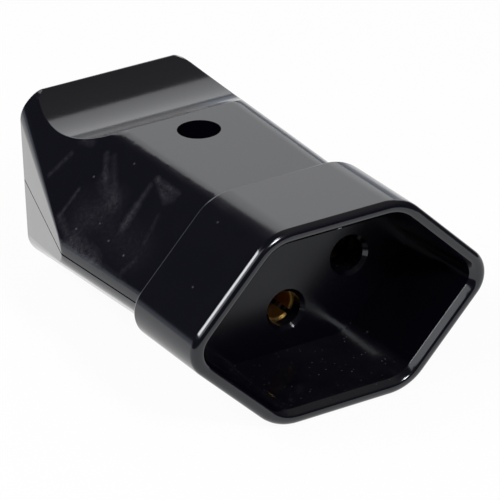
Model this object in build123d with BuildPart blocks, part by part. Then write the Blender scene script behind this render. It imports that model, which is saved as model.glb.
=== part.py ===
"""Three-pin inline power socket: a hexagonal front socket held between two grip shells."""
import math
import os

from build123d import *

# Overall form, in millimetres, with depths counted backwards from the front rim
overall_length = 58.85
collar_width = 42.5
collar_height = 26.5
collar_rear_margin = 1.3
collar_tip_radius = 4.0
collar_corner_radius = 7.0
rim_radius = 1.0
collar_rear_chamfer = 0.4

# Recess and floor of the front socket
rim_wall = 2.03
recess_depth = 13.95
recess_draft = 3.06
recess_tip_radius = 2.2
recess_corner_radius = 4.5
mouth_lead = 0.7
mouth_depth = 1.0
floor_thickness = 2.5

# Pin pattern of the socket
pin_pitch = 19.0
earth_offset = 5.0
pin_length = 19.0
pin_hole_diameter = 4.7
pin_hole_chamfer = 0.5

# Grip formed by the two shells
collar_top_step = 1.25
collar_side_step = 1.57
top_flare = 1.0
bevel_flare = 1.6
body_tip_radius = 3.2
body_corner_radius = 4.2
shell_wall = 2.0
facet_length = 23.6
facet_drop = 2.75
scoop_setback = 9.46
scoop_dip = 2.9
scoop_radius = 19.55
ridge_corner_radius = 5.5
grip_edge_radius = 0.3
parting_groove_width = 0.2
parting_groove_depth = 0.3
inlet_diameter = 8.5

# Joint between the front socket and the shells
spigot_length = 5.5
spigot_wall = 1.8
lip_height = 0.8
lip_width = 1.6

# Housing screw and nut
screw_setback = 5.75
screw_hole_diameter = 5.7
screw_diameter = 3.0
screw_head_diameter = 5.2
screw_head_height = 2.0
screw_head_seat = 4.2
boss_joint = 1.0
boss_wall = 1.35
nut_width = 5.5
nut_height = 2.4
screw_end_gap = 0.4

# Contacts and terminals
sleeve_bore = 4.2
sleeve_wall = 0.8
tube_wall = 1.1
line_tube_length = 11.8
earth_lead = 3.0
earth_tube_length = 5.8
slot_width = 0.6
slot_margin = 1.5
ring_setback = 2.4
ring_width = 1.1
ring_thickness = 0.5
ring_gap = 1.2
block_size = 7.0
line_block_length = 12.0
wire_hole_diameter = 3.0
wire_hole_depth = 5.8
wall_between_bores = 1.9
terminal_screw_diameter = 3.0
terminal_head_diameter = 4.8
terminal_head_height = 1.6
terminal_setback = 4.2
screw_slot_width = 0.7
screw_slot_depth = 0.8
screw_tip_gap = 0.6
block_chamfer = 0.4
retainer_thickness = 2.0
retainer_hole_diameter = 3.6

# Ribs that hold the contacts, and the cord clamp
rib_thickness = 1.4
rib_lead = 0.8
rib_setback = 0.4
stop_rib_height = 4.5
clamp_setback = 7.2
clamp_width = 4.0
clamp_end_gap = 0.6
clamp_bar_thickness = 3.0
clamp_arch_wall = 1.7
clamp_seat = 0.5
clamp_screw_inset = 2.4
clamp_screw_diameter = 2.8
clamp_screw_length = 7.5
clamp_boss_diameter = 5.6

# Clearances
fit_gap = 0.1
screw_gap = 0.2
thread_gap = 0.05
channel_gap = 0.5
pin_tip_gap = 0.5
root_two = math.sqrt(2)

# Frame: origin under the middle of the box, socket mouth towards -Y
front_y = -overall_length / 2
mid_z = collar_height / 2

# Sizes that follow from the driving ones
collar_length = recess_depth + collar_rear_margin
recess_taper = recess_depth * math.tan(math.radians(recess_draft))
collar_apex = collar_width / 2 + (root_two - 1) * collar_tip_radius
recess_apex = collar_apex - rim_wall * root_two
recess_half_height = collar_height / 2 - rim_wall
body_length = overall_length - collar_length
body_apex = collar_apex - collar_side_step * root_two
body_half_height = collar_height / 2 - collar_top_step
floor_back = recess_depth + floor_thickness
line_sleeve_start = floor_back + earth_lead
spigot_end = collar_length + spigot_length
spigot_apex = body_apex - (shell_wall + fit_gap) * root_two
spigot_half_height = body_half_height - shell_wall - fit_gap
pin_end = recess_depth + pin_length + pin_tip_gap
sleeve_radius = sleeve_bore / 2 + sleeve_wall
tube_bore_radius = sleeve_radius + ring_thickness / 2 + fit_gap
tube_radius = tube_bore_radius + tube_wall
line_tube_end = floor_back + line_tube_length
earth_tube_end = floor_back + earth_tube_length
line_block_end = line_tube_end + line_block_length
screw_depth = line_block_end - screw_setback
boss_radius = max(screw_hole_diameter / 2, nut_width / math.sqrt(3)) + boss_wall
earth_block_end = screw_depth - boss_radius - fit_gap
earth_wire_height = sleeve_bore / 2 + wall_between_bores + wire_hole_diameter / 2 - earth_offset
earth_block_top = earth_wire_height + wire_hole_diameter / 2 + wall_between_bores
earth_block_bottom = -earth_offset - block_size / 2
line_places = [(-pin_pitch / 2, 0), (pin_pitch / 2, 0)]
earth_place = (0, -earth_offset)
retainer_end = line_block_end + retainer_thickness
rib_end = line_tube_end + rib_lead + rib_thickness
nut_bottom = boss_joint - nut_height
screw_end = nut_bottom - screw_end_gap
clamp_depth = overall_length - clamp_setback
clamp_end = clamp_depth + clamp_width / 2
clamp_bar_top = clamp_seat + clamp_bar_thickness


def half_height_at(depth):
    """Half height of the grip, where its top is flat."""
    return body_half_height + top_flare * (depth - collar_length) / body_length


def apex_at(depth):
    """Distance from the axis to the sharp side edge of the grip."""
    return body_apex + bevel_flare * root_two * (depth - collar_length) / body_length


scoop_depth = overall_length - scoop_setback
scoop_centre = half_height_at(scoop_depth) - scoop_dip + scoop_radius


def scoop_height_at(depth, inset):
    """Height of the scooped surface over the middle plane."""
    return scoop_centre - math.sqrt((scoop_radius + inset) ** 2 - (depth - scoop_depth) ** 2)


ridge_height = scoop_height_at(overall_length, 0)
ridge_edge = apex_at(overall_length) - ridge_height
ridge_round_x = ridge_edge - (root_two - 1) * ridge_corner_radius
facet_start = overall_length - facet_length
side_half_width = apex_at(facet_start) - (root_two - 1) * body_tip_radius
rear_half_width = ridge_edge + facet_drop
facet_angle = math.degrees(math.atan2(side_half_width - rear_half_width, facet_length))


def facet_half_width_at(depth, inset):
    """Half width of the grip between its rear facets."""
    run = math.tan(math.radians(facet_angle)) * (depth - facet_start)
    return side_half_width - run - inset / math.cos(math.radians(facet_angle))


clamp_half_length = facet_half_width_at(clamp_end, shell_wall) - clamp_end_gap
clamp_screw_x = clamp_half_length - clamp_screw_inset
clamp_places = [(-clamp_screw_x, clamp_depth), (clamp_screw_x, clamp_depth)]


def station(depth):
    """Cross-section plane at a depth behind the rim, seen from the front."""
    return Plane(origin=(0, front_y + depth, mid_z), x_dir=(1, 0, 0), z_dir=(0, -1, 0))


def level(height):
    """Horizontal plane at a height over the middle, with depth as its second axis."""
    return Plane(origin=(0, front_y, mid_z + height), x_dir=(1, 0, 0), z_dir=(0, 0, 1))


side = Plane(origin=(0, front_y, mid_z), x_dir=(0, 1, 0), z_dir=(1, 0, 0))


def hexagon(apex, half_height, tip_radius=0.0, corner_radius=0.0):
    """Draws an elongated hexagon with 45 degree bevels in the current sketch."""
    flat = apex - half_height
    Polygon(
        (apex, 0),
        (flat, half_height),
        (-flat, half_height),
        (-apex, 0),
        (-flat, -half_height),
        (flat, -half_height),
        align=None,
    )
    if corner_radius:
        corners = vertices().group_by(Axis.Y)
        fillet(corners[0] + corners[-1], corner_radius)
    if tip_radius:
        tips = vertices().group_by(Axis.X)
        fillet(tips[0] + tips[-1], tip_radius)


def hexagon_loft(front, rear, tip_radius=0.0, corner_radius=0.0):
    """Tapered hexagonal bar between two sections, each a depth, an apex and a half height."""
    with BuildPart() as bar:
        for depth, apex, half_height in (front, rear):
            with BuildSketch(station(depth)):
                hexagon(apex, half_height)
        loft(ruled=True)
        long_edges = edges().filter_by(lambda e: e.bounding_box().size.Y > (rear[0] - front[0]) / 2)
        by_height = long_edges.group_by(Axis.Z)
        if corner_radius:
            fillet(by_height[0] + by_height[-1], corner_radius)
        if tip_radius:
            fillet(by_height[1], tip_radius)
    return bar.part


def grip_form(inset, tip_radius=0.0, corner_radius=0.0, edge_radius=0.0):
    """Closed form of the grip, moved in from its outer face by an inset."""
    ends = []
    for depth in (collar_length, overall_length - inset):
        ends.append((depth, apex_at(depth) - inset * root_two, half_height_at(depth) - inset))
    bar = hexagon_loft(*ends, tip_radius, corner_radius)
    with BuildPart() as form:
        add(bar)
        with BuildSketch(side):
            with Locations((scoop_depth, scoop_centre), (scoop_depth, -scoop_centre)):
                Circle(scoop_radius + inset)
        extrude(amount=collar_width, both=True, mode=Mode.SUBTRACT)
        if edge_radius:
            round_faces = faces().filter_by(GeomType.CYLINDER)
            scoops = round_faces.filter_by(lambda f: abs(f.radius - scoop_radius) < fit_gap)
            fillet(scoops.edges(), edge_radius)
        with BuildSketch(level(0)):
            for hand, edge in ((1, Align.MIN), (-1, Align.MAX)):
                with Locations(Location((hand * side_half_width, facet_start), hand * facet_angle)):
                    with Locations((-hand * inset, 0)):
                        Rectangle(collar_width, 2 * overall_length, align=(edge, Align.CENTER))
        extrude(amount=collar_height, both=True, mode=Mode.SUBTRACT)
        if edge_radius:
            upright = faces().filter_by(GeomType.PLANE).filter_by(lambda f: abs(f.normal_at().Z) < 0.01)
            facets = upright.filter_by(lambda f: abs(f.normal_at().X) > 0.5)
            fillet(facets.edges().sort_by(Axis.Y)[len(facets):], edge_radius)
    return form.part


outer_form = grip_form(0, body_tip_radius, body_corner_radius, grip_edge_radius)
cavity = grip_form(shell_wall)
rib_limit = grip_form(shell_wall / 2)
parting_limit = grip_form(parting_groove_depth, body_tip_radius)
recess_form = hexagon_loft(
    (0, recess_apex, recess_half_height),
    (recess_depth, recess_apex - recess_taper * root_two, recess_half_height - recess_taper),
    recess_tip_radius,
    recess_corner_radius,
)

os.makedirs("parts", exist_ok=True)


def keep_piece(builder, name):
    """Labels a finished piece and writes it to its own file."""
    builder.part.label = name
    export_step(builder.part, f"parts/{name}.step")


# Front socket
with BuildPart() as front_socket:
    with BuildSketch(station(collar_length)):
        hexagon(collar_apex, collar_height / 2, collar_tip_radius, collar_corner_radius)
    extrude(amount=collar_length)
    fillet(faces().sort_by(Axis.Y)[0].edges(), rim_radius)
    chamfer(faces().sort_by(Axis.Y)[-1].edges(), collar_rear_chamfer)
    with BuildSketch(station(spigot_end)):
        hexagon(spigot_apex, spigot_half_height)
    extrude(amount=spigot_length)
    with BuildSketch(station(spigot_end)):
        hexagon(spigot_apex + lip_height * root_two, spigot_half_height + lip_height, body_tip_radius)
    extrude(amount=lip_width)
    add(recess_form, mode=Mode.SUBTRACT)
    front_face = faces().sort_by(Axis.Y)[0]
    chamfer(front_face.inner_wires()[0].edges(), mouth_lead, mouth_depth, reference=front_face)
    with BuildSketch(station(spigot_end)):
        hexagon(spigot_apex - spigot_wall * root_two, spigot_half_height - spigot_wall)
    extrude(amount=spigot_end - floor_back, mode=Mode.SUBTRACT)
    for places, tube_end in ((line_places, line_tube_end), ([earth_place], earth_tube_end)):
        with BuildSketch(station(tube_end)):
            with Locations(*places):
                Circle(tube_radius)
        extrude(amount=tube_end - floor_back)
    for places, tube_end in ((line_places, line_tube_end), ([earth_place], earth_tube_end)):
        with BuildSketch(station(tube_end)):
            with Locations(*places):
                Circle(tube_bore_radius)
        extrude(amount=tube_end - floor_back, mode=Mode.SUBTRACT)
    with BuildSketch(station(floor_back)):
        with Locations(*line_places, earth_place):
            Circle(pin_hole_diameter / 2)
    extrude(amount=floor_thickness, mode=Mode.SUBTRACT)
    pin_rims = edges(Select.LAST).filter_by(GeomType.CIRCLE).group_by(Axis.Y)[0]
    chamfer(pin_rims, pin_hole_chamfer)
keep_piece(front_socket, "front_socket")


# Grip with the ends of its rear ridges rounded
with BuildPart() as grip:
    add(outer_form)
    with BuildSketch(station(overall_length)):
        with Locations((0, 0), Location((0, 0), 180)):
            for hand in (1, -1):
                with Locations((hand * ridge_round_x, ridge_height - ridge_corner_radius)):
                    Polygon(
                        (0, 0),
                        (0, 2 * ridge_corner_radius),
                        (hand * 2 * ridge_corner_radius, 2 * ridge_corner_radius),
                        align=None,
                    )
                    Circle(ridge_corner_radius, mode=Mode.SUBTRACT)
    extrude(amount=ridge_corner_radius, mode=Mode.SUBTRACT)

# Ribs of the shells: partitions that hold the terminal blocks, and stops behind the retainer
with BuildPart() as upper_ribs:
    with BuildSketch(station(rib_end)):
        with Locations((0, rib_setback)):
            Rectangle(collar_width, collar_height, align=(Align.CENTER, Align.MIN))
        with Locations(*line_places):
            Rectangle(block_size + 2 * fit_gap, block_size, mode=Mode.SUBTRACT)
        Rectangle(block_size + 2 * fit_gap, 2 * earth_block_top, mode=Mode.SUBTRACT)
    extrude(amount=rib_thickness)
    with BuildSketch(station(retainer_end + rib_thickness)):
        with Locations((0, stop_rib_height)):
            Rectangle(collar_width, collar_height, align=(Align.CENTER, Align.MIN))
    extrude(amount=rib_thickness)
    add(rib_limit, mode=Mode.INTERSECT)

with BuildPart() as lower_ribs:
    with BuildSketch(station(rib_end)):
        with Locations((0, -rib_setback)):
            Rectangle(collar_width, collar_height, align=(Align.CENTER, Align.MAX))
        with Locations(*line_places):
            Rectangle(block_size + 2 * fit_gap, block_size, mode=Mode.SUBTRACT)
        Rectangle(block_size + 2 * fit_gap, -2 * earth_block_bottom, mode=Mode.SUBTRACT)
    extrude(amount=rib_thickness)
    with BuildSketch(station(retainer_end + rib_thickness)):
        with Locations((0, -stop_rib_height)):
            Rectangle(collar_width, collar_height, align=(Align.CENTER, Align.MAX))
    extrude(amount=rib_thickness)
    with BuildSketch(station(clamp_end)):
        with Locations((0, -rib_setback)):
            Rectangle(2 * clamp_screw_x, collar_height, align=(Align.CENTER, Align.MAX))
        Circle(inlet_diameter / 2, mode=Mode.SUBTRACT)
    extrude(amount=clamp_width)
    add(rib_limit, mode=Mode.INTERSECT)

# Shallow groove along the parting line of the shells
with BuildPart() as parting_groove:
    with BuildSketch(level(0)):
        with Locations((0, collar_length)):
            Rectangle(collar_width, overall_length, align=(Align.CENTER, Align.MIN))
    extrude(amount=parting_groove_width / 2, both=True)
    add(parting_limit, mode=Mode.SUBTRACT)

# Room that both shells leave free: cavity, groove for the lip, channel under the earth contact, cord inlet
with BuildPart() as room:
    add(cavity)
    with BuildSketch(station(spigot_end + fit_gap)):
        groove_height = lip_height + fit_gap
        hexagon(spigot_apex + groove_height * root_two, spigot_half_height + groove_height, body_tip_radius)
    extrude(amount=lip_width + 2 * fit_gap)
    with BuildSketch(station(earth_block_end)):
        with Locations(earth_place):
            Circle(tube_radius + channel_gap)
    extrude(amount=earth_block_end - collar_length)
    with BuildSketch(station(overall_length)):
        Circle(inlet_diameter / 2)
    extrude(amount=2 * shell_wall)

# Upper shell
with BuildPart() as upper_shell:
    add(grip.part)
    split(bisect_by=level(0), keep=Keep.TOP)
    add(parting_groove.part, mode=Mode.SUBTRACT)
    add(room.part, mode=Mode.SUBTRACT)
    add(upper_ribs.part)
    with BuildSketch(level(boss_joint)):
        with Locations((0, screw_depth)):
            Circle(boss_radius)
    extrude(amount=half_height_at(screw_depth) - shell_wall / 2 - boss_joint)
    with BuildSketch(level(screw_head_seat)):
        with Locations((0, screw_depth)):
            Circle(screw_hole_diameter / 2)
    extrude(amount=collar_height / 2, mode=Mode.SUBTRACT)
    with BuildSketch(level(boss_joint)):
        with Locations((0, screw_depth)):
            Circle(screw_diameter / 2 + screw_gap)
    extrude(amount=screw_head_seat - boss_joint, mode=Mode.SUBTRACT)
keep_piece(upper_shell, "upper_shell")

# Lower shell
with BuildPart() as lower_shell:
    add(grip.part)
    split(bisect_by=level(0), keep=Keep.BOTTOM)
    add(parting_groove.part, mode=Mode.SUBTRACT)
    add(room.part, mode=Mode.SUBTRACT)
    add(lower_ribs.part)
    with BuildSketch(level(boss_joint)):
        with Locations((0, screw_depth)):
            Circle(boss_radius)
    extrude(amount=shell_wall / 2 - boss_joint - half_height_at(screw_depth))
    with BuildSketch(level(boss_joint)):
        with Locations((0, screw_depth)):
            RegularPolygon(nut_width / math.sqrt(3) + fit_gap, 6)
    extrude(amount=-nut_height, mode=Mode.SUBTRACT)
    with BuildSketch(level(nut_bottom)):
        with Locations((0, screw_depth)):
            Circle(screw_diameter / 2 + screw_gap)
    extrude(amount=-2 * screw_end_gap, mode=Mode.SUBTRACT)
    with BuildSketch(station(pin_end)):
        with Locations(earth_place):
            Circle(sleeve_bore / 2 + screw_gap)
    extrude(amount=pin_end - earth_block_end, mode=Mode.SUBTRACT)
    with BuildSketch(level(clamp_seat)):
        with Locations(*clamp_places):
            Circle(clamp_boss_diameter / 2)
    extrude(amount=-scoop_height_at(clamp_depth, shell_wall / 2) - clamp_seat)
    with BuildSketch(level(clamp_seat)):
        with Locations(*clamp_places):
            Circle(clamp_screw_diameter / 2 + thread_gap)
    extrude(amount=-clamp_screw_length + clamp_bar_thickness - screw_end_gap, mode=Mode.SUBTRACT)
keep_piece(lower_shell, "lower_shell")


def slotted_sleeve(place, start, tube_end):
    """Slotted contact sleeve with the groove of its spring ring."""
    with BuildPart() as sleeve:
        with BuildSketch(station(tube_end)):
            with Locations(place):
                Circle(sleeve_radius)
        extrude(amount=tube_end - start)
        with BuildSketch(station(start + ring_setback + ring_width + fit_gap)):
            with Locations(place):
                Circle(sleeve_radius)
                Circle(sleeve_radius - ring_thickness / 2, mode=Mode.SUBTRACT)
        extrude(amount=ring_width + 2 * fit_gap, mode=Mode.SUBTRACT)
        with BuildSketch(station(tube_end - slot_margin)):
            with Locations(place):
                Rectangle(2 * sleeve_radius, slot_width, rotation=45)
                Rectangle(2 * sleeve_radius, slot_width, rotation=-45)
        extrude(amount=tube_end, mode=Mode.SUBTRACT)
    return sleeve.part


def slotted_screw(x, depth, seat, diameter, length, head_diameter, head_height):
    """Upright screw with a slotted head resting on its seat."""
    with BuildPart() as screw:
        with BuildSketch(level(seat)):
            with Locations((x, depth)):
                Circle(diameter / 2)
        extrude(amount=-length)
        with BuildSketch(level(seat)):
            with Locations((x, depth)):
                Circle(head_diameter / 2)
        extrude(amount=head_height)
        with BuildSketch(level(seat + head_height)):
            with Locations((x, depth)):
                Rectangle(head_diameter, screw_slot_width)
        extrude(amount=-screw_slot_depth, mode=Mode.SUBTRACT)
    return screw


# Line and neutral contacts
for name, place in (("line", line_places[0]), ("neutral", line_places[1])):
    line_sleeve = slotted_sleeve(place, line_sleeve_start, line_tube_end)
    with BuildPart() as contact:
        add(line_sleeve)
        with BuildSketch(station(line_block_end)):
            with Locations(place):
                Rectangle(block_size, block_size)
        extrude(amount=line_block_length)
        chamfer(edges(Select.LAST).filter_by(Axis.Y), block_chamfer)
        with BuildSketch(station(pin_end)):
            with Locations(place):
                Circle(sleeve_bore / 2)
        extrude(amount=pin_end - floor_back, mode=Mode.SUBTRACT)
        with BuildSketch(station(line_block_end)):
            with Locations(place):
                Circle(wire_hole_diameter / 2)
        extrude(amount=wire_hole_depth, mode=Mode.SUBTRACT)
        with BuildSketch(level(0)):
            with Locations((place[0], line_block_end - terminal_setback)):
                Circle(terminal_screw_diameter / 2 + thread_gap)
        extrude(amount=block_size / 2, mode=Mode.SUBTRACT)
    keep_piece(contact, f"{name}_contact")
    terminal_screw = slotted_screw(
        place[0],
        line_block_end - terminal_setback,
        block_size / 2,
        terminal_screw_diameter,
        block_size / 2 - screw_tip_gap,
        terminal_head_diameter,
        terminal_head_height,
    )
    keep_piece(terminal_screw, f"{name}_terminal_screw")

# Earth contact, with its terminal above the sleeve
earth_sleeve = slotted_sleeve(earth_place, floor_back, earth_tube_end)
with BuildPart() as earth_contact:
    add(earth_sleeve)
    with BuildSketch(station(earth_block_end)):
        with Locations((0, earth_block_bottom)):
            Rectangle(block_size, earth_block_top - earth_block_bottom, align=(Align.CENTER, Align.MIN))
    extrude(amount=earth_block_end - earth_tube_end)
    chamfer(edges(Select.LAST).filter_by(Axis.Y), block_chamfer)
    with BuildSketch(station(earth_block_end)):
        with Locations(earth_place):
            Circle(sleeve_bore / 2)
    extrude(amount=earth_block_end - floor_back, mode=Mode.SUBTRACT)
    with BuildSketch(station(earth_block_end)):
        with Locations((0, earth_wire_height)):
            Circle(wire_hole_diameter / 2)
    extrude(amount=wire_hole_depth, mode=Mode.SUBTRACT)
    with BuildSketch(level(earth_wire_height)):
        with Locations((0, earth_block_end - terminal_setback)):
            Circle(terminal_screw_diameter / 2 + thread_gap)
    extrude(amount=earth_block_top - earth_wire_height, mode=Mode.SUBTRACT)
keep_piece(earth_contact, "earth_contact")
earth_terminal_screw = slotted_screw(
    0,
    earth_block_end - terminal_setback,
    earth_block_top,
    terminal_screw_diameter,
    earth_block_top - earth_wire_height - screw_tip_gap,
    terminal_head_diameter,
    terminal_head_height,
)
keep_piece(earth_terminal_screw, "earth_terminal_screw")

# Open spring rings round the sleeves
for name, place, start in (
    ("line", line_places[0], line_sleeve_start),
    ("neutral", line_places[1], line_sleeve_start),
    ("earth", earth_place, floor_back),
):
    with BuildPart() as ring:
        with BuildSketch(station(start + ring_setback + ring_width)):
            with Locations(place):
                Circle(sleeve_radius + ring_thickness / 2)
                Circle(sleeve_radius - ring_thickness / 2, mode=Mode.SUBTRACT)
                with Locations((0, sleeve_radius)):
                    Rectangle(ring_gap, 2 * ring_thickness, mode=Mode.SUBTRACT)
        extrude(amount=ring_width)
    keep_piece(ring, f"{name}_spring_ring")

# Retainer plate behind the terminal blocks
facet_room = facet_half_width_at(retainer_end, shell_wall)
bevel_room = apex_at(line_block_end) - shell_wall * root_two
flat_room = half_height_at(line_block_end) - shell_wall
scoop_room = scoop_height_at(retainer_end, shell_wall)
with BuildPart() as contact_retainer:
    with BuildSketch(station(retainer_end)):
        hexagon(min(facet_room, bevel_room) - fit_gap * root_two, min(flat_room, scoop_room) - fit_gap)
        with Locations(*line_places, (0, earth_wire_height)):
            Circle(retainer_hole_diameter / 2, mode=Mode.SUBTRACT)
    extrude(amount=retainer_thickness)
keep_piece(contact_retainer, "contact_retainer")

# Cord clamp with its two screws
with BuildPart() as cord_clamp:
    with BuildSketch(station(clamp_end)):
        with Locations((0, clamp_seat)):
            Rectangle(2 * clamp_half_length, clamp_bar_thickness, align=(Align.CENTER, Align.MIN))
        Circle(inlet_diameter / 2 + clamp_arch_wall)
        with Locations((0, clamp_seat)):
            Rectangle(collar_width, collar_height, align=(Align.CENTER, Align.MAX), mode=Mode.SUBTRACT)
        Circle(inlet_diameter / 2, mode=Mode.SUBTRACT)
    extrude(amount=clamp_width)
    with BuildSketch(level(clamp_seat)):
        with Locations(*clamp_places):
            Circle(clamp_screw_diameter / 2 + screw_gap)
    extrude(amount=clamp_bar_thickness, mode=Mode.SUBTRACT)
keep_piece(cord_clamp, "cord_clamp")
for name, place in (("left", clamp_places[0]), ("right", clamp_places[1])):
    clamp_screw = slotted_screw(
        place[0],
        place[1],
        clamp_bar_top,
        clamp_screw_diameter,
        clamp_screw_length,
        terminal_head_diameter,
        terminal_head_height,
    )
    keep_piece(clamp_screw, f"clamp_screw_{name}")

# Housing screw and its nut
housing_screw = slotted_screw(
    0,
    screw_depth,
    screw_head_seat,
    screw_diameter,
    screw_head_seat - screw_end,
    screw_head_diameter,
    screw_head_height,
)
keep_piece(housing_screw, "housing_screw")
with BuildPart() as housing_nut:
    with BuildSketch(level(nut_bottom)):
        with Locations((0, screw_depth)):
            RegularPolygon(nut_width / math.sqrt(3), 6)
            Circle(screw_diameter / 2 + thread_gap, mode=Mode.SUBTRACT)
    extrude(amount=nut_height)
keep_piece(housing_nut, "housing_nut")
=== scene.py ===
"""Looks of a black inline power socket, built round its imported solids."""

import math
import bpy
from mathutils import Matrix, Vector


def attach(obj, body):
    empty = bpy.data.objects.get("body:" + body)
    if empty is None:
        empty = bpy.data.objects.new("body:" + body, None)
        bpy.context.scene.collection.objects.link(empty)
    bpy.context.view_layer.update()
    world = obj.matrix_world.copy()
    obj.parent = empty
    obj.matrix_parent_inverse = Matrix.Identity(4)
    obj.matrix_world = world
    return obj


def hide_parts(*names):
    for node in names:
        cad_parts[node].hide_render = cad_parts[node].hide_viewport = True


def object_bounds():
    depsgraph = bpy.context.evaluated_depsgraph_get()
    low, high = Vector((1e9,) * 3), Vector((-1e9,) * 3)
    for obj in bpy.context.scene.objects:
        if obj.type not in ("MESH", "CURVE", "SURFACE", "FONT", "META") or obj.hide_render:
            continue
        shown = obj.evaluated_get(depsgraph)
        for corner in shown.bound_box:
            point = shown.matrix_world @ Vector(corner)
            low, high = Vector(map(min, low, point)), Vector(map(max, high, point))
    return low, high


bl_info = {
    "name": "Inline power socket",
    "version": (1, 0, 0),
    "blender": (4, 5, 0),
    "location": "View3D > Sidebar > Socket",
    "description": "Dresses the solids of a black inline power socket and sets its studio stage",
    "category": "Object",
}

import bpy
from mathutils import Matrix, Vector

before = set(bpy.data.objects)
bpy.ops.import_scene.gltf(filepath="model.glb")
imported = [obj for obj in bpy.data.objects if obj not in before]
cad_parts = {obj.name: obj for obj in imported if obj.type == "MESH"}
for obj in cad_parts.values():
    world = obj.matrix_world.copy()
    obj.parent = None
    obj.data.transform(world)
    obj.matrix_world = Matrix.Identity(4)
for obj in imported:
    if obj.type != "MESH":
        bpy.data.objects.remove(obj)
cad_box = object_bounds()

MM = 0.001
BODY = "root"

# Places in the frame: the rim is at the front of the box
RIM_Y = cad_box[0][1]
REAR_Y = cad_box[1][1]
MIDDLE_Z = (cad_box[0][2] + cad_box[1][2]) / 2
CENTRE = (Vector(cad_box[0]) + Vector(cad_box[1])) / 2

# Nodes of the frame, grouped by kind
MOULDINGS = ("front_socket", "upper_shell", "lower_shell")
CONTACTS = ("line_contact", "neutral_contact", "earth_contact")
RINGS = ("line_spring_ring", "neutral_spring_ring", "earth_spring_ring")
TERMINAL_SCREWS = ("line_terminal_screw", "neutral_terminal_screw", "earth_terminal_screw")
CLAMP_SCREWS = ("clamp_screw_left", "clamp_screw_right")
HOUSING_FASTENERS = ("housing_screw", "housing_nut")
INSULATORS = ("contact_retainer", "cord_clamp")

# Meshes: points closer than this are one, and what still counts as one depth, plane or direction
MERGE_GAP = 0.002 * MM
DEPTH_TOLERANCE = 0.01 * MM
CUT_TOLERANCE = 0.0001 * MM
SAME_DIRECTION = 0.98

# Flat steps across a modelled rounding and a softened edge, and the pull of large faces on the shading
ROUNDING_STEPS = 4
SOFTENING_STEPS = 3
FLAT_FACE_PULL = 90

# Edges of the front socket, as depths behind the rim
MOUTH_EDGE = 0.0
MOUTH_FOOT = 1.0 * MM
RECESS_FLOOR = 13.95 * MM
COLLAR_REAR_EDGE = 14.85 * MM

# Corners between the grip's bevels and its rear facets: where their rounding starts, as a depth
# behind the rim, and the flat cuts that make it
CORNER_START = 33.0 * MM
CORNER_CUTS = 7

# Way that each shell's bevels look, up or down, and how far a facet looks rearwards for 1 sideways
SHELL_LEVELS = {"upper_shell": 1.0, "lower_shell": -1.0}
FACET_LEAN = 0.3

# Marks on the left bevel of the grip: two ends, reach and strength, where an end is
# the millimetres behind the rim and the millimetres up the bevel from its middle
SCUFFS = (
    ((38.5, -0.7), (35.7, -3.5), 0.7, 0.10),
    ((37.0, -0.5), (31.7, -4.6), 0.8, 0.05),
    ((35.7, -3.5), (31.5, -5.4), 1.8, 0.07),
    ((34.4, -10.0), (31.6, -4.9), 3.0, 0.04),
    ((27.5, -0.9), (27.1, -7.5), 0.7, 0.10),
    ((27.3, -4.0), (27.1, -6.5), 1.1, 0.08),
    ((27.2, 0.4), (22.0, 0.4), 0.6, 0.08),
    ((27.2, 0.4), (23.2, -1.4), 0.7, 0.08),
    ((24.5, -0.2), (22.6, -0.5), 1.1, 0.09),
    ((38.9, -6.4), (39.0, -10.7), 0.45, 0.10),
    ((39.0, -10.7), (35.9, -11.8), 0.9, 0.08),
    ((44.6, -3.3), (45.7, -7.0), 0.6, 0.08),
    ((44.2, -0.9), (42.3, -0.6), 0.9, 0.07),
    ((22.7, -3.3), (21.8, -7.2), 0.6, 0.04),
    ((21.2, -9.5), (22.1, -11.8), 0.6, 0.06),
    ((36.0, -8.0), (22.0, -8.5), 4.0, 0.03),
    ((33.7, -12.8), (28.5, -13.2), 2.4, 0.18),
    ((28.5, -13.4), (21.0, -13.6), 1.6, 0.14),
)
# Specks on the left bevels of the grip and the collar, in the same millimetres
SPECKS = (
    (37.9, -4.0),
    (31.3, -8.4),
    (27.8, -9.5),
    (23.7, -9.9),
    (32.7, 0.3),
    (34.6, -10.7),
    (10.4, 0.2),
    (6.9, -8.0),
)
SPECK_LENGTH = 0.05
SPECK_REACH = 0.22
SPECK_STRENGTH = 0.5

# Step up the bevel for one step sideways or up, at 45 degrees
BEVEL_STEP = math.sqrt(0.5)

# Faces that marks keep to: their direction, and the likeness to it where a mark starts and is full
ON_LEFT_BEVEL = ((-1.0, 0.0, 1.0), 0.88, 0.96)
ON_UPWARD_FACES = ((0.0, 0.0, 1.0), 0.65, 0.95)
ON_RECESS_FLOOR = ((0.0, -1.0, 0.0), 0.9, 0.98)

# Dust: specks to a metre and the share of them that shows, and the thin film with settled dust
LOOSE_DUST = {"Scale": 520.0, "Amount": 0.03}
LOOSE_DUST_STRENGTH = 0.5
SETTLED_DUST = {"Scale": 1300.0, "Amount": 0.9}
DUST_FILM = 0.01
DUST_FILM_PATCHES = 0.02

# Gloss of the black plastic, and what patches, marks and the recess's floor change in it
PLASTIC_IOR = 1.58
PLASTIC_REFLECTION = (0.93, 0.96, 1.0, 1.0)
PATCH_ROUGHNESS = 0.04
MARK_ROUGHNESS = 0.5
SPECULAR_LEVEL = 0.5
FLOOR_DULLING = 0.24

# Metal finishes: the material's name, roughness and grain scale
METALS = {
    "brass": ("Machined brass", 0.3, 500.0),
    # The line and neutral contacts get brass darkened as painted shade, standing in for the shadow deep
    # in their holes.
    "shaded_brass": ("Brass with painted shade", 0.4, 500.0),
    "plated_steel": ("Plated steel", 0.3, 600.0),
    "spring_steel": ("Spring steel", 0.35, 800.0),
}
METAL_PATCH_SHADE = 0.7
METAL_PATCH_ROUGHNESS = 0.15

# Hidden insulating pieces
INSULATOR_PATCH_SHADE = 1.4
INSULATOR_ROUGHNESS = 0.55

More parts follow.
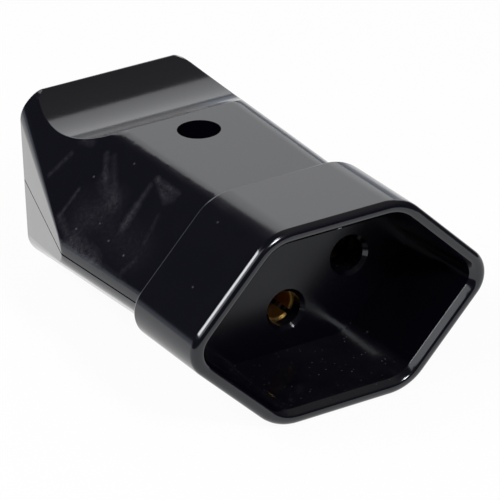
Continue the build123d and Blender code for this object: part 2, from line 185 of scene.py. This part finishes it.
# Grain scales and bumps of the two plastics and the metals: a bump's strength and depth
PLASTIC_GRAIN = 700.0
INSULATOR_GRAIN = 1200.0
PLASTIC_BUMP = (0.03, 0.02 * MM)
METAL_BUMP = (0.08, 0.02 * MM)
INSULATOR_BUMP = (0.15, 0.03 * MM)

# Pale floor, and the share of plain white that the camera and reflections see in it
FLOOR_COLOUR = (0.9, 0.9, 0.9, 1.0)
FLOOR_ROUGHNESS = 0.9
FLOOR_WHITENESS = 0.95

# Room: its own light, and what the backdrop and the ceiling add
ROOM_STRENGTH = 0.07
BACKDROP_STRENGTH = 0.55
CEILING_STRENGTH = 0.18
ROOM_COLOUR = (0.80, 0.85, 1.0)
CEILING_COLOUR = (1.0, 0.93, 0.88)

# Lamps: direction from the socket, distance, width, height and radiance
LAMPS = {
    "Rear softbox": ((0.46, 0.77, 0.44), 0.5, 0.55, 0.26, 1.18),
    "Left strip lamp": ((-0.69, 0.14, 0.71), 0.6, 0.42, 0.12, 14.0),
    "Front lamp": ((0.01, -0.78, 0.62), 0.6, 0.11, 0.11, 40.0),
    "Upper front lamp": ((0.0, -0.60, 0.80), 0.6, 0.06, 0.06, 28.0),
    "Fill softbox": ((-0.62, -0.42, 0.66), 0.7, 0.24, 0.24, 1.8),
}


class SocketLook(bpy.types.PropertyGroup):
    """Sizes and colours of the socket's finishes."""

    plastic_colour: bpy.props.FloatVectorProperty(
        name="Plastic",
        description="Colour of the moulded black plastic",
        subtype="COLOR",
        default=(0.0019, 0.0016, 0.0040),
        min=0.0,
        max=1.0,
    )
    dust_colour: bpy.props.FloatVectorProperty(
        name="Dust",
        description="Colour of dust specks and scuffs",
        subtype="COLOR",
        default=(0.22, 0.22, 0.25),
        min=0.0,
        max=1.0,
    )
    brass_colour: bpy.props.FloatVectorProperty(
        name="Brass",
        description="Colour of the earth contact",
        subtype="COLOR",
        default=(0.92, 0.55, 0.15),
        min=0.0,
        max=1.0,
    )
    # Brass darkened as painted shade for the line and neutral contacts, which sit in shadow deep in their
    # holes.
    shaded_brass_colour: bpy.props.FloatVectorProperty(
        name="Shaded brass",
        description="Colour of the line and neutral contacts, deep in their holes",
        subtype="COLOR",
        default=(0.05, 0.035, 0.02),
        min=0.0,
        max=1.0,
    )
    steel_colour: bpy.props.FloatVectorProperty(
        name="Steel",
        description="Colour of the plated screws and nut",
        subtype="COLOR",
        default=(0.56, 0.56, 0.57),
        min=0.0,
        max=1.0,
    )
    spring_colour: bpy.props.FloatVectorProperty(
        name="Spring steel",
        description="Colour of the contacts' spring rings",
        subtype="COLOR",
        default=(0.34, 0.34, 0.36),
        min=0.0,
        max=1.0,
    )
    insulator_colour: bpy.props.FloatVectorProperty(
        name="Insulator",
        description="Colour of the inner insulating pieces",
        subtype="COLOR",
        default=(0.045, 0.045, 0.048),
        min=0.0,
        max=1.0,
    )
    plastic_roughness: bpy.props.FloatProperty(
        name="Plastic roughness",
        description="Roughness of clean plastic",
        default=0.11,
        min=0.0,
        max=1.0,
    )
    floor_roughness: bpy.props.FloatProperty(
        name="Recess floor roughness",
        description="Roughness that the matte floor of the recess adds",
        default=0.1,
        min=0.0,
        max=1.0,
    )
    mouth_rounding: bpy.props.FloatProperty(
        name="Mouth rounding",
        description="Width of the rounding on the edges of the recess's mouth",
        default=0.5 * MM,
        unit="LENGTH",
    )
    collar_rounding: bpy.props.FloatProperty(
        name="Collar rounding",
        description="Width of the rounding on the collar's rear edge",
        default=0.32 * MM,
        unit="LENGTH",
    )
    corner_rounding: bpy.props.FloatProperty(
        name="Facet corner rounding",
        description="Radius at the rear end of the corners between the bevels and the rear facets",
        default=3.2 * MM,
        unit="LENGTH",
    )
    edge_softness: bpy.props.FloatProperty(
        name="Edge softness",
        description="Width of the rounding on the inner pieces' edges, halved on metal",
        default=0.22 * MM,
        unit="LENGTH",
    )
    smooth_angle: bpy.props.FloatProperty(
        name="Smooth angle",
        description="Faces that meet at less than this angle shade as one",
        default=math.radians(32.0),
        subtype="ANGLE",
    )


class SocketStage(bpy.types.PropertyGroup):
    """Camera and floor of the studio stage."""

    camera_azimuth: bpy.props.FloatProperty(
        name="Azimuth",
        description="Camera's turn about the upright axis, from the socket's mouth",
        default=math.radians(-29.71),
        subtype="ANGLE",
    )
    camera_elevation: bpy.props.FloatProperty(
        name="Elevation",
        description="Camera's height angle",
        default=math.radians(25.44),
        subtype="ANGLE",
    )
    camera_roll: bpy.props.FloatProperty(
        name="Roll",
        description="Camera's turn about its own axis",
        default=math.radians(-2.244),
        subtype="ANGLE",
    )
    camera_distance: bpy.props.FloatProperty(
        name="Distance",
        description="From the aim point to the camera",
        default=0.5,
        unit="LENGTH",
    )
    camera_aim: bpy.props.FloatVectorProperty(
        name="Aim",
        description="Point at the middle of the picture",
        default=(-7.612 * MM, -20.235 * MM, 20.549 * MM),
        subtype="XYZ",
        unit="LENGTH",
    )
    camera_lens: bpy.props.FloatProperty(
        name="Lens",
        description="Focal length in millimetres",
        default=292.63,
    )
    floor_radius: bpy.props.FloatProperty(
        name="Floor radius",
        description="Radius of the pale floor",
        default=0.9,
        unit="LENGTH",
    )


def mm(*values):
    """Millimetres as a vector in metres."""
    return Vector(values) * MM


def deselect_all():
    """Leaves edit mode and clears the selection."""
    if bpy.context.object and bpy.context.object.mode != "OBJECT":
        bpy.ops.object.mode_set(mode="OBJECT")
    bpy.ops.object.select_all(action="DESELECT")


def activate(piece):
    """Makes one piece the only selected and the active one."""
    deselect_all()
    piece.select_set(True)
    bpy.context.view_layer.objects.active = piece


def merged_copy(node_name, piece_name):
    """Copies a solid as one closed mesh without a material."""
    activate(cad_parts[node_name])
    bpy.ops.object.duplicate()
    piece = bpy.context.active_object
    piece.name = piece_name
    piece.data.name = piece_name
    piece.data.materials.clear()
    bpy.ops.object.mode_set(mode="EDIT")
    bpy.ops.mesh.select_all(action="SELECT")
    bpy.ops.mesh.customdata_custom_splitnormals_clear()
    bpy.ops.mesh.remove_doubles(threshold=MERGE_GAP)
    bpy.ops.object.mode_set(mode="OBJECT")
    return piece


def round_edges(piece, depth, width, sharp_angle):
    """Rounds the sharp edges that lie at one depth behind the rim."""
    activate(piece)
    bpy.ops.object.mode_set(mode="EDIT")
    bpy.ops.mesh.select_mode(type="EDGE")
    bpy.ops.mesh.select_all(action="DESELECT")
    bpy.ops.mesh.edges_select_sharp(sharpness=sharp_angle)
    bpy.ops.object.mode_set(mode="OBJECT")
    mesh = piece.data
    near = [abs(vertex.co.y - RIM_Y - depth) < DEPTH_TOLERANCE for vertex in mesh.vertices]
    chosen = [
        edge.index for edge in mesh.edges if edge.select and all(near[end] for end in edge.vertices)
    ]
    bpy.ops.object.mode_set(mode="EDIT")
    bpy.ops.mesh.select_all(action="DESELECT")
    bpy.ops.object.mode_set(mode="OBJECT")
    for index in chosen:
        mesh.edges[index].select = True
        for end in mesh.edges[index].vertices:
            mesh.vertices[end].select = True
    bpy.ops.object.mode_set(mode="EDIT")
    bpy.ops.mesh.bevel(offset=width, segments=ROUNDING_STEPS, profile=0.5, clamp_overlap=True)
    bpy.ops.object.mode_set(mode="OBJECT")


def outer_face(piece, direction):
    """Normal and reach of the largest flat face that looks in about one direction."""
    aim = Vector(direction).normalized()
    alike = [face for face in piece.data.polygons if face.normal.dot(aim) > SAME_DIRECTION]
    largest = max(alike, key=lambda face: face.area)
    return largest.normal.copy(), largest.normal.dot(largest.center)


def round_facet_corner(piece, side, level, rear_radius):
    """Rounds the corner between a bevel and a rear facet, more and more towards the rear.

    The flat cuts touch a cone that has its tip at the corner's start and touches both faces.
    """
    bevel, bevel_reach = outer_face(piece, (side, 0.0, level))
    facet, facet_reach = outer_face(piece, (side, FACET_LEAN, 0.0))
    along = bevel.cross(facet).normalized()
    along *= math.copysign(1.0, along.y)
    outward = (bevel + facet).normalized()
    across = (facet - bevel).normalized()
    half_turn = bevel.angle(facet) / 2
    start_y = RIM_Y + CORNER_START
    start = Matrix((bevel, facet, (0, 1, 0))).inverted() @ Vector((bevel_reach, facet_reach, start_y))
    run = (REAR_Y - start_y) / along.y
    spread = math.atan2(rear_radius, run)
    tilt = math.asin(math.sin(spread) / math.cos(half_turn))
    axis = along * math.cos(tilt) - outward * math.sin(tilt)
    lift = outward * math.cos(tilt) + along * math.sin(tilt)
    swing = math.atan2(math.sin(half_turn), math.cos(half_turn) * math.cos(tilt))
    activate(piece)
    bpy.ops.object.mode_set(mode="EDIT")
    for cut in range(1, CORNER_CUTS + 1):
        turn = swing * (2 * cut / (CORNER_CUTS + 1) - 1)
        radial = lift * math.cos(turn) + across * math.sin(turn)
        normal = radial * math.cos(spread) - axis * math.sin(spread)
        bpy.ops.mesh.select_all(action="SELECT")
        bpy.ops.mesh.bisect(
            plane_co=start, plane_no=normal, use_fill=True, clear_outer=True, threshold=CUT_TOLERANCE
        )
    bpy.ops.mesh.select_all(action="SELECT")
    bpy.ops.mesh.remove_doubles(threshold=MERGE_GAP)
    # A cut that grazes the fillet can leave a flap with open edges, which is dropped.
    bpy.ops.mesh.select_all(action="DESELECT")
    bpy.ops.mesh.select_mode(type="EDGE")
    bpy.ops.mesh.select_non_manifold(
        use_wire=True, use_boundary=True, use_multi_face=False, use_non_contiguous=False, use_verts=False
    )
    bpy.ops.mesh.delete(type="EDGE")
    bpy.ops.object.mode_set(mode="OBJECT")


def smooth(piece, smooth_angle):
    """Smooths the shading, and keeps sharp edges and flat faces as they are."""
    activate(piece)
    bpy.ops.object.shade_smooth_by_angle(angle=smooth_angle)
    normals = piece.modifiers.new("Flat faces", "WEIGHTED_NORMAL")
    normals.mode = "FACE_AREA"
    normals.weight = FLAT_FACE_PULL
    normals.keep_sharp = True


def soften(piece, width, smooth_angle):
    """Rounds the sharp edges and smooths the shading."""
    bevel = piece.modifiers.new("Edge rounding", "BEVEL")
    bevel.width = width
    bevel.segments = SOFTENING_STEPS
    bevel.limit_method = "ANGLE"
    bevel.angle_limit = smooth_angle
    bevel.use_clamp_overlap = True
    bevel.miter_outer = "MITER_ARC"
    smooth(piece, smooth_angle)


def dress(piece, node_name, material):
    piece.data.materials.append(material)
    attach(piece, BODY)
    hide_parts(node_name)


def new_group(name, inputs, outputs):
    """Starts a shader node group with named sockets."""
    group = bpy.data.node_groups.new(name, "ShaderNodeTree")
    for label, kind, value in inputs:
        socket = group.interface.new_socket(label, in_out="INPUT", socket_type=kind)
        socket.default_value = value
    for label, kind in outputs:
        group.interface.new_socket(label, in_out="OUTPUT", socket_type=kind)
    return group, group.nodes.new("NodeGroupInput"), group.nodes.new("NodeGroupOutput")


def math_node(tree, operation, *values, clamp=False):
    """Adds a math node whose inputs are sockets or numbers."""
    node = tree.nodes.new("ShaderNodeMath")
    node.operation = operation
    node.use_clamp = clamp
    for index, value in enumerate(values):
        if isinstance(value, (int, float)):
            node.inputs[index].default_value = value
        else:
            tree.links.new(value, node.inputs[index])
    return node.outputs[0]


def ramp_node(tree, value, zero_at, one_at):
    """Maps a value smoothly to between 0 and 1."""
    node = tree.nodes.new("ShaderNodeMapRange")
    node.interpolation_type = "SMOOTHSTEP"
    node.inputs["From Min"].default_value = zero_at
    node.inputs["From Max"].default_value = one_at
    tree.links.new(value, node.inputs["Value"])
    return node.outputs["Result"]


def noise_node(tree, vector, scale, detail, roughness):
    """Adds a noise texture and gives its value."""
    node = tree.nodes.new("ShaderNodeTexNoise")
    node.inputs["Scale"].default_value = scale
    node.inputs["Detail"].default_value = detail
    node.inputs["Roughness"].default_value = roughness
    tree.links.new(vector, node.inputs["Vector"])
    return node.outputs["Fac"]


def group_node(tree, group, **values):
    """Places a node group with its own values."""
    node = tree.nodes.new("ShaderNodeGroup")
    node.node_tree = group
    for label, value in values.items():
        socket = node.inputs[label]
        if hasattr(value, "is_linked"):
            tree.links.new(value, socket)
        else:
            socket.default_value = value
    return node


def make_grain_group():
    """Fine unevenness of a moulded or worked surface."""
    group, source, sink = new_group(
        "Surface grain",
        (("Vector", "NodeSocketVector", (0, 0, 0)), ("Scale", "NodeSocketFloat", 900.0)),
        (("Height", "NodeSocketFloat"), ("Patches", "NodeSocketFloat")),
    )
    fine = group.nodes.new("ShaderNodeTexNoise")
    fine.inputs["Detail"].default_value = 3.0
    group.links.new(source.outputs["Vector"], fine.inputs["Vector"])
    group.links.new(source.outputs["Scale"], fine.inputs["Scale"])
    group.links.new(fine.outputs["Fac"], sink.inputs["Height"])
    coarse = noise_node(group, source.outputs["Vector"], scale=110.0, detail=4.0, roughness=0.6)
    patches = ramp_node(group, coarse, zero_at=0.35, one_at=0.75)
    group.links.new(patches, sink.inputs["Patches"])
    return group


def make_dust_group():
    """Scattered specks of dust."""
    group, source, sink = new_group(
        "Dust specks",
        (
            ("Vector", "NodeSocketVector", (0, 0, 0)),
            ("Scale", "NodeSocketFloat", 260.0),
            ("Amount", "NodeSocketFloat", 0.5),
        ),
        (("Mask", "NodeSocketFloat"),),
    )
    cells = group.nodes.new("ShaderNodeTexVoronoi")
    cells.inputs["Randomness"].default_value = 1.0
    group.links.new(source.outputs["Vector"], cells.inputs["Vector"])
    group.links.new(source.outputs["Scale"], cells.inputs["Scale"])
    spot = ramp_node(group, cells.outputs["Distance"], zero_at=0.12, one_at=0.03)
    split = group.nodes.new("ShaderNodeSeparateColor")
    group.links.new(cells.outputs["Color"], split.inputs["Color"])
    chosen = math_node(group, "LESS_THAN", split.outputs["Red"], source.outputs["Amount"])
    varied = math_node(group, "MULTIPLY", chosen, split.outputs["Green"])
    group.links.new(math_node(group, "MULTIPLY", spot, varied), sink.inputs["Mask"])
    return group


def make_stroke_group():
    """One soft scuff between two points on the surface."""
    group, source, sink = new_group(
        "Scuff stroke",
        (
            ("Vector", "NodeSocketVector", (0, 0, 0)),
            ("Start", "NodeSocketVector", (0, 0, 0)),
            ("End", "NodeSocketVector", (0, 0, 0)),
            ("Width", "NodeSocketFloat", 1.0 * MM),
        ),
        (("Mask", "NodeSocketFloat"),),
    )

    def vector_math(operation, first, second, output="Vector"):
        """Adds a vector math node between two sockets."""
        node = group.nodes.new("ShaderNodeVectorMath")
        node.operation = operation
        group.links.new(first, node.inputs[0])
        group.links.new(second, node.inputs["Scale"] if operation == "SCALE" else node.inputs[1])
        return node.outputs[output]

    from_start = vector_math("SUBTRACT", source.outputs["Vector"], source.outputs["Start"])
    along = vector_math("SUBTRACT", source.outputs["End"], source.outputs["Start"])
    reach = vector_math("DOT_PRODUCT", from_start, along, "Value")
    length = vector_math("DOT_PRODUCT", along, along, "Value")
    share = math_node(group, "DIVIDE", reach, length, clamp=True)
    nearest = vector_math("SCALE", along, share)
    gap = vector_math("DISTANCE", from_start, nearest, "Value")
    widths_away = math_node(group, "DIVIDE", gap, source.outputs["Width"])
    closeness = math_node(group, "SUBTRACT", 1.0, widths_away, clamp=True)
    streaks = noise_node(group, source.outputs["Vector"], scale=1500.0, detail=3.0, roughness=0.7)
    streaks = ramp_node(group, streaks, zero_at=0.15, one_at=0.8)
    group.links.new(math_node(group, "MULTIPLY", closeness, streaks), sink.inputs["Mask"])
    return group


def start_material(name):
    """Starts a material with object coordinates, and gives its tree, shader and coordinates."""
    material = bpy.data.materials.new(name)
    material.use_nodes = True
    tree = material.node_tree
    coordinates = tree.nodes.new("ShaderNodeTexCoord")
    return material, tree, tree.nodes["Principled BSDF"], coordinates.outputs["Object"]


def mix_colour(tree, mask, plain, marked):
    """Mixes two colours, the second where the mask is 1."""
    node = tree.nodes.new("ShaderNodeMix")
    node.data_type = "RGBA"
    node.inputs["A"].default_value = (*plain, 1.0)
    node.inputs["B"].default_value = (*marked, 1.0)
    tree.links.new(mask, node.inputs["Factor"])
    return node.outputs["Result"]


def add_bump(tree, shader, height, strength, depth):
    """Lets a height disturb the shader's normal."""
    bump = tree.nodes.new("ShaderNodeBump")
    bump.inputs["Strength"].default_value = strength
    bump.inputs["Distance"].default_value = depth
    tree.links.new(height, bump.inputs["Height"])
    tree.links.new(bump.outputs["Normal"], shader.inputs["Normal"])


def bevel_place(tree, place):
    """Depth behind the rim and height up the left bevel, and the object's own axes."""
    split = tree.nodes.new("ShaderNodeSeparateXYZ")
    tree.links.new(place, split.inputs[0])
    join = tree.nodes.new("ShaderNodeCombineXYZ")
    tree.links.new(math_node(tree, "SUBTRACT", split.outputs["Y"], RIM_Y), join.inputs["X"])
    slant = math_node(tree, "ADD", split.outputs["X"], split.outputs["Z"])
    from_middle = math_node(tree, "SUBTRACT", slant, MIDDLE_Z)
    tree.links.new(math_node(tree, "MULTIPLY", from_middle, BEVEL_STEP), join.inputs["Y"])
    return join.outputs["Vector"], split.outputs


def facing(tree, direction, zero_at, one_at):
    """Mask of the faces that look in one direction."""
    surface = tree.nodes.new("ShaderNodeNewGeometry")
    node = tree.nodes.new("ShaderNodeVectorMath")
    node.operation = "DOT_PRODUCT"
    node.inputs[1].default_value = Vector(direction).normalized()
    tree.links.new(surface.outputs["Normal"], node.inputs[0])
    return ramp_node(tree, node.outputs["Value"], zero_at, one_at)


def make_black_plastic(groups, look):
    """Glossy moulded plastic with dust, a few scuffs and a matte recess floor."""
    material, tree, shader, place = start_material("Glossy black plastic")
    shader.inputs["IOR"].default_value = PLASTIC_IOR
    shader.inputs["Specular Tint"].default_value = PLASTIC_REFLECTION
    grain = group_node(tree, groups["grain"], Vector=place, Scale=PLASTIC_GRAIN)
    on_bevel, axes = bevel_place(tree, place)

    scuffs = 0.0
    for start, end, reach, strength in SCUFFS:
        ends = {"Start": mm(*start, 0.0), "End": mm(*end, 0.0)}
        stroke = group_node(tree, groups["stroke"], Vector=on_bevel, Width=reach * MM, **ends)
        scuffs = math_node(tree, "MULTIPLY_ADD", stroke.outputs["Mask"], strength, scuffs)
    for spot in SPECKS:
        ends = {"Start": mm(*spot, 0.0), "End": mm(spot[0] + SPECK_LENGTH, spot[1], 0.0)}
        speck = group_node(tree, groups["stroke"], Vector=on_bevel, Width=SPECK_REACH * MM, **ends)
        scuffs = math_node(tree, "MULTIPLY_ADD", speck.outputs["Mask"], SPECK_STRENGTH, scuffs)
    scuffs = math_node(tree, "MULTIPLY", scuffs, facing(tree, *ON_LEFT_BEVEL))

    loose = group_node(tree, groups["dust"], Vector=place, **LOOSE_DUST)
    low_down = math_node(tree, "LESS_THAN", axes["Z"], MIDDLE_Z)
    low_walls = math_node(tree, "MULTIPLY", low_down, facing(tree, *ON_UPWARD_FACES))
    settled = group_node(tree, groups["dust"], Vector=place, **SETTLED_DUST)
    film = math_node(tree, "MULTIPLY_ADD", grain.outputs["Patches"], DUST_FILM_PATCHES, DUST_FILM)
    settled = math_node(tree, "ADD", settled.outputs["Mask"], film)
    dust = math_node(tree, "MULTIPLY", settled, low_walls)
    dust = math_node(tree, "MULTIPLY_ADD", loose.outputs["Mask"], LOOSE_DUST_STRENGTH, dust)
    marks = math_node(tree, "ADD", scuffs, dust, clamp=True)
    colour = mix_colour(tree, marks, look.plastic_colour, look.dust_colour)
    tree.links.new(colour, shader.inputs["Base Color"])

    behind_mouth = math_node(tree, "GREATER_THAN", axes["Y"], RIM_Y + RECESS_FLOOR / 2)
    matte = math_node(tree, "MULTIPLY", behind_mouth, facing(tree, *ON_RECESS_FLOOR))
    patches = grain.outputs["Patches"]
    roughness = math_node(tree, "MULTIPLY_ADD", patches, PATCH_ROUGHNESS, look.plastic_roughness)
    roughness = math_node(tree, "MULTIPLY_ADD", marks, MARK_ROUGHNESS, roughness)
    roughness = math_node(tree, "MULTIPLY_ADD", matte, look.floor_roughness, roughness)
    tree.links.new(roughness, shader.inputs["Roughness"])
    level = math_node(tree, "MULTIPLY_ADD", matte, -FLOOR_DULLING, SPECULAR_LEVEL)
    tree.links.new(level, shader.inputs["Specular IOR Level"])
    add_bump(tree, shader, grain.outputs["Height"], *PLASTIC_BUMP)
    return material


def make_metal(groups, colour, name, roughness, grain_scale):
    """Worked metal with fine tool marks."""
    material, tree, shader, place = start_material(name)
    grain = group_node(tree, groups["grain"], Vector=place, Scale=grain_scale)
    dark = tuple(METAL_PATCH_SHADE * value for value in colour)
    tree.links.new(mix_colour(tree, grain.outputs["Patches"], colour, dark), shader.inputs["Base Color"])
    shader.inputs["Metallic"].default_value = 1.0
    added = math_node(tree, "MULTIPLY", grain.outputs["Patches"], METAL_PATCH_ROUGHNESS)
    tree.links.new(math_node(tree, "ADD", added, roughness), shader.inputs["Roughness"])
    add_bump(tree, shader, grain.outputs["Height"], *METAL_BUMP)
    return material


def make_insulator(groups, colour):
    """Matte dark plastic of the hidden insulating pieces."""
    material, tree, shader, place = start_material("Matte insulator")
    grain = group_node(tree, groups["grain"], Vector=place, Scale=INSULATOR_GRAIN)
    light = tuple(INSULATOR_PATCH_SHADE * value for value in colour)
    tree.links.new(mix_colour(tree, grain.outputs["Patches"], colour, light), shader.inputs["Base Color"])
    shader.inputs["Roughness"].default_value = INSULATOR_ROUGHNESS
    add_bump(tree, shader, grain.outputs["Height"], *INSULATOR_BUMP)
    return material


finishes = {}


def finish(name):
    """Gives a finish of the socket, made on first use."""
    if not finishes:
        look = bpy.context.scene.socket_look
        groups = {"grain": make_grain_group(), "dust": make_dust_group(), "stroke": make_stroke_group()}
        metal_colours = {
            "brass": look.brass_colour,
            "shaded_brass": look.shaded_brass_colour,
            "plated_steel": look.steel_colour,
            "spring_steel": look.spring_colour,
        }
        finishes["black_plastic"] = make_black_plastic(groups, look)
        for metal, colour in metal_colours.items():
            finishes[metal] = make_metal(groups, colour, *METALS[metal])
        finishes["insulator"] = make_insulator(groups, look.insulator_colour)
    return finishes[name]


class SOCKET_OT_mouldings(bpy.types.Operator):
    """Make the front socket and the two grip shells with their rounded edges"""

    bl_idname = "socket.mouldings"
    bl_label = "Mouldings"

    def execute(self, context):
        look = context.scene.socket_look
        for node_name in MOULDINGS:
            piece = merged_copy(node_name, f"{node_name}_moulding")
            if node_name == "front_socket":
                for depth in (MOUTH_EDGE, MOUTH_FOOT):
                    round_edges(piece, depth, look.mouth_rounding, look.smooth_angle)
                round_edges(piece, COLLAR_REAR_EDGE, look.collar_rounding, look.smooth_angle)
            else:
                for side in (-1.0, 1.0):
                    round_facet_corner(piece, side, SHELL_LEVELS[node_name], look.corner_rounding)
            smooth(piece, look.smooth_angle)
            dress(piece, node_name, finish("black_plastic"))
        return {"FINISHED"}


class SOCKET_OT_contacts(bpy.types.Operator):
    """Make the brass contacts and their spring rings"""

    bl_idname = "socket.contacts"
    bl_label = "Contacts"

    def execute(self, context):
        look = context.scene.socket_look
        for node_name in CONTACTS:
            piece = merged_copy(node_name, f"{node_name}_brass")
            soften(piece, look.edge_softness / 2, look.smooth_angle)
            # Only the earth contact shows bright brass; the line and neutral contacts get brass darkened
            # as painted shade for the shadow in their holes.
            shine = "brass" if node_name == "earth_contact" else "shaded_brass"
            dress(piece, node_name, finish(shine))
        for node_name in RINGS:
            piece = merged_copy(node_name, f"{node_name}_steel")
            soften(piece, look.edge_softness / 2, look.smooth_angle)
            dress(piece, node_name, finish("spring_steel"))
        return {"FINISHED"}


class SOCKET_OT_fasteners(bpy.types.Operator):
    """Make the screws and the nut"""

    bl_idname = "socket.fasteners"
    bl_label = "Fasteners"

    def execute(self, context):
        look = context.scene.socket_look
        for node_name in TERMINAL_SCREWS + CLAMP_SCREWS + HOUSING_FASTENERS:
            piece = merged_copy(node_name, f"{node_name}_steel")
            soften(piece, look.edge_softness / 2, look.smooth_angle)
            dress(piece, node_name, finish("plated_steel"))
        return {"FINISHED"}


class SOCKET_OT_insulators(bpy.types.Operator):
    """Make the retainer plate and the cord clamp"""

    bl_idname = "socket.insulators"
    bl_label = "Insulators"

    def execute(self, context):
        look = context.scene.socket_look
        for node_name in INSULATORS:
            piece = merged_copy(node_name, f"{node_name}_moulding")
            soften(piece, look.edge_softness, look.smooth_angle)
            dress(piece, node_name, finish("insulator"))
        return {"FINISHED"}


def make_floor_material():
    """White floor that keeps a soft shadow."""
    material = bpy.data.materials.new("Pale floor")
    material.use_nodes = True
    tree = material.node_tree
    shader = tree.nodes["Principled BSDF"]
    shader.inputs["Base Color"].default_value = FLOOR_COLOUR
    shader.inputs["Roughness"].default_value = FLOOR_ROUGHNESS
    glow = tree.nodes.new("ShaderNodeEmission")
    glow.inputs["Strength"].default_value = 1.0
    path = tree.nodes.new("ShaderNodeLightPath")
    seen = math_node(tree, "MAXIMUM", path.outputs["Is Camera Ray"], path.outputs["Is Glossy Ray"])
    seen = math_node(tree, "MAXIMUM", seen, path.outputs["Is Transmission Ray"])
    mix = tree.nodes.new("ShaderNodeMixShader")
    tree.links.new(math_node(tree, "MULTIPLY", seen, FLOOR_WHITENESS), mix.inputs["Fac"])
    tree.links.new(shader.outputs["BSDF"], mix.inputs[1])
    tree.links.new(glow.outputs["Emission"], mix.inputs[2])
    tree.links.new(mix.outputs["Shader"], tree.nodes["Material Output"].inputs["Surface"])
    return material


def make_world():
    """Dim room with a pale backdrop low behind the socket and a ceiling on the right."""
    world = bpy.data.worlds.new("Studio")
    bpy.context.scene.world = world
    world.use_nodes = True
    tree = world.node_tree
    coordinates = tree.nodes.new("ShaderNodeTexCoord")
    split = tree.nodes.new("ShaderNodeSeparateXYZ")
    tree.links.new(coordinates.outputs["Generated"], split.inputs[0])
    behind = ramp_node(tree, split.outputs["Y"], zero_at=0.3, one_at=0.7)
    low_down = ramp_node(tree, split.outputs["Z"], zero_at=0.22, one_at=0.06)
    backdrop = math_node(tree, "MULTIPLY", behind, low_down)
    on_right = ramp_node(tree, split.outputs["X"], zero_at=-0.15, one_at=0.4)
    high_up = ramp_node(tree, split.outputs["Z"], zero_at=0.3, one_at=0.9)
    ceiling = math_node(tree, "MULTIPLY", on_right, high_up)
    strength = math_node(tree, "MULTIPLY_ADD", backdrop, BACKDROP_STRENGTH, ROOM_STRENGTH)
    strength = math_node(tree, "MULTIPLY_ADD", ceiling, CEILING_STRENGTH, strength)
    background = tree.nodes["Background"]
    tree.links.new(strength, background.inputs["Strength"])
    tree.links.new(mix_colour(tree, ceiling, ROOM_COLOUR, CEILING_COLOUR), background.inputs["Color"])


def add_softbox(name, direction, distance, width, height, radiance):
    """Rectangular lamp that faces the socket."""
    direction = Vector(direction).normalized()
    bpy.ops.object.light_add(type="AREA")
    lamp = bpy.context.active_object
    lamp.name = name
    lamp.data.shape = "RECTANGLE"
    lamp.data.size = width
    lamp.data.size_y = height
    lamp.data.energy = radiance * math.pi * width * height
    lamp.location = CENTRE + direction * distance
    lamp.rotation_euler = direction.to_track_quat("Z", "Y").to_euler()
    lamp.visible_camera = False


class SOCKET_OT_stage(bpy.types.Operator):
    """Set the floor, the lamps and the camera"""

    bl_idname = "socket.stage"
    bl_label = "Stage"

    def execute(self, context):
        stage = context.scene.socket_stage
        deselect_all()
        bpy.ops.mesh.primitive_circle_add(vertices=96, radius=stage.floor_radius, fill_type="NGON")
        floor = context.active_object
        floor.name = "pale_floor"
        floor.data.materials.append(make_floor_material())
        make_world()
        for name, measures in LAMPS.items():
            add_softbox(name, *measures)
        self.place_camera(context, stage)
        context.scene.view_settings.view_transform = "Standard"
        return {"FINISHED"}

    def place_camera(self, context, stage):
        """Puts the camera at the photograph's viewing angle."""
        azimuth, elevation = stage.camera_azimuth, stage.camera_elevation
        right = Vector((math.cos(azimuth), math.sin(azimuth), 0.0))
        back = Vector(
            (
                math.sin(azimuth) * math.cos(elevation),
                -math.cos(azimuth) * math.cos(elevation),
                math.sin(elevation),
            )
        )
        up = back.cross(right)
        turn = Matrix.Rotation(stage.camera_roll, 3, back)
        axes = Matrix((turn @ right, turn @ up, back)).transposed().to_4x4()
        bpy.ops.object.camera_add()
        camera = context.active_object
        camera.name = "Photo camera"
        camera.data.sensor_width = 36.0
        camera.data.lens = stage.camera_lens
        camera.data.clip_start = 0.01
        aim = Vector(stage.camera_aim)
        camera.matrix_world = Matrix.Translation(aim + back * stage.camera_distance) @ axes
        context.scene.camera = camera


class SOCKET_PT_pieces(bpy.types.Panel):
    """Lists the socket's pieces and stage"""

    bl_idname = "SOCKET_PT_pieces"
    bl_label = "Inline power socket"
    bl_space_type = "VIEW_3D"
    bl_region_type = "UI"
    bl_category = "Socket"

    def draw(self, context):
        layout = self.layout
        for operator in OPERATORS:
            layout.operator(operator.bl_idname)
        for group in (context.scene.socket_look, context.scene.socket_stage):
            box = layout.box()
            for name in group.__annotations__:
                box.prop(group, name)


OPERATORS = (
    SOCKET_OT_mouldings,
    SOCKET_OT_contacts,
    SOCKET_OT_fasteners,
    SOCKET_OT_insulators,
    SOCKET_OT_stage,
)
CLASSES = (SocketLook, SocketStage, *OPERATORS, SOCKET_PT_pieces)


def register():
    """Registers the classes and their properties."""
    for cls in CLASSES:
        bpy.utils.register_class(cls)
    bpy.types.Scene.socket_look = bpy.props.PointerProperty(type=SocketLook)
    bpy.types.Scene.socket_stage = bpy.props.PointerProperty(type=SocketStage)


def unregister():
    """Takes the classes and their properties out again."""
    del bpy.types.Scene.socket_stage
    del bpy.types.Scene.socket_look
    for cls in reversed(CLASSES):
        bpy.utils.unregister_class(cls)


def main():
    register()
    bpy.ops.socket.mouldings()
    bpy.ops.socket.contacts()
    bpy.ops.socket.fasteners()
    bpy.ops.socket.insulators()
    bpy.ops.socket.stage()


if __name__ == "__main__":
    main()
